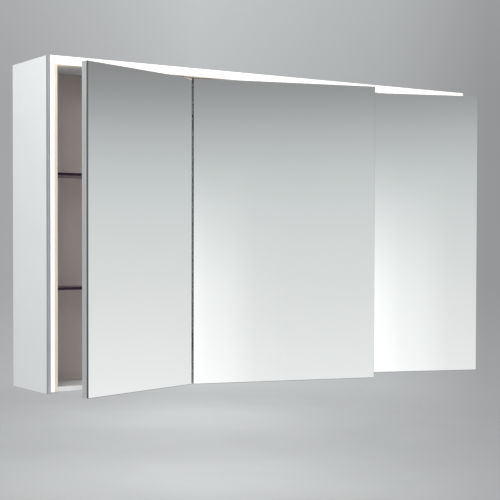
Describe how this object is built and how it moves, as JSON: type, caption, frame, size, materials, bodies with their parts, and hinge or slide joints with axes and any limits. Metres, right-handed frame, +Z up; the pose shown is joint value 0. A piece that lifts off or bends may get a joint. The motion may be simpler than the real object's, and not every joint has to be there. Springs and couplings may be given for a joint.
{
  "type": "medicine cabinet with mirror",
  "caption": "Wall-hung mirror cabinet with hinged double-mirrored doors, glass shelves in divided bays and a light frame round the top and sides.",
  "frame": {"origin": "middle of the top hanging rail's rear face, on the wall plane, half way along the cabinet's width", "axes": "+X along the width to the viewer's right, +Y into the wall, +Z up; the doors face -Y"},
  "size_m": [1.2, 0.2837, 0.72],
  "materials": {
    "white_lacquer": "satin white lacquer on board",
    "grey_lacquer": "matt grey-brown lacquer on thin board",
    "plain_board": "uncoated board",
    "anodised_aluminium": "silver anodised, satin",
    "door_aluminium": "silver anodised, satin, fine brushing along the bar",
    "opal_acrylic": "opal diffusing acrylic, lit from behind",
    "circuit_strip": "white solder mask with small light emitters",
    "mirror_glass": "silvered float glass with polished edges",
    "shelf_glass": "clear float glass with dark polished edges",
    "bonding_foam": "black double-sided foam",
    "door_core_board": "thin fibreboard",
    "hinge_steel": "ground steel pin",
    "zinc_plate": "bright zinc plate",
    "driver_plastic": "white moulded plastic",
    "terminal_plastic": "grey moulded plastic",
    "lead_insulation": "white insulation"
  },
  "bodies": {
    "case": {"side_panel_left": "white_lacquer", "side_panel_right": "white_lacquer", "top_panel": "white_lacquer", "bottom_panel": "white_lacquer", "partition_left": "white_lacquer", "partition_right": "white_lacquer", "back_panel": "grey_lacquer", "hanging_rail_top": "plain_board", "spacer_rail_bottom": "plain_board", "wall_hanger_left": "zinc_plate", "wall_hanger_right": "zinc_plate", "light_profile_left": "anodised_aluminium", "light_cover_left": "opal_acrylic", "led_strip_left": "circuit_strip", "light_profile_right": "anodised_aluminium", "light_cover_right": "opal_acrylic", "led_strip_right": "circuit_strip", "light_profile_top": "anodised_aluminium", "light_cover_top": "opal_acrylic", "led_strip_top": "circuit_strip", "light_end_cap_left": "anodised_aluminium", "light_end_cap_right": "anodised_aluminium", "shelf_left_lower": "shelf_glass", "left_hinge_bracket_lower": "zinc_plate", "shelf_left_upper": "shelf_glass", "left_hinge_bracket_upper": "zinc_plate", "shelf_middle_lower": "shelf_glass", "middle_hinge_bracket_lower": "zinc_plate", "shelf_middle_upper": "shelf_glass", "middle_hinge_bracket_upper": "zinc_plate", "shelf_right_lower": "shelf_glass", "right_hinge_bracket_lower": "zinc_plate", "shelf_right_upper": "shelf_glass", "right_hinge_bracket_upper": "zinc_plate", "led_driver": "driver_plastic", "terminal_box": "terminal_plastic", "cable_gland": "terminal_plastic", "low_voltage_lead_left": "lead_insulation", "low_voltage_lead_right": "lead_insulation"},
    "left_door": {"left_hinge_pin_lower": "hinge_steel", "left_hinge_pin_upper": "hinge_steel", "left_door_frame": "door_aluminium", "left_door_mirror_front": "mirror_glass", "left_door_mirror_rear": "mirror_glass", "left_door_bonding_pad": "bonding_foam", "left_door_core": "door_core_board"},
    "middle_door": {"middle_hinge_pin_lower": "hinge_steel", "middle_hinge_pin_upper": "hinge_steel", "middle_door_frame": "door_aluminium", "middle_door_mirror_front": "mirror_glass", "middle_door_mirror_rear": "mirror_glass", "middle_door_bonding_pad": "bonding_foam", "middle_door_core": "door_core_board"},
    "right_door": {"right_hinge_pin_lower": "hinge_steel", "right_hinge_pin_upper": "hinge_steel", "right_door_frame": "door_aluminium", "right_door_mirror_front": "mirror_glass", "right_door_mirror_rear": "mirror_glass", "right_door_bonding_pad": "bonding_foam", "right_door_core": "door_core_board"}
  },
  "joints": [
    {"name": "left_door_hinge", "type": "hinge", "parent": "case", "child": "left_door", "pos_m": [-0.246, -0.165, -0.315], "axis": [0, 0, 1], "range_deg": [-19.3, 69.7]},
    {"name": "middle_door_hinge", "type": "hinge", "parent": "case", "child": "middle_door", "pos_m": [-0.218, -0.165, -0.315], "axis": [0, 0, -1], "range_deg": [-14.4, 74.6]},
    {"name": "right_door_hinge", "type": "hinge", "parent": "case", "child": "right_door", "pos_m": [0.246, -0.165, -0.315], "axis": [0, 0, -1], "range_deg": [-18.9, 70.1]}
  ]
}
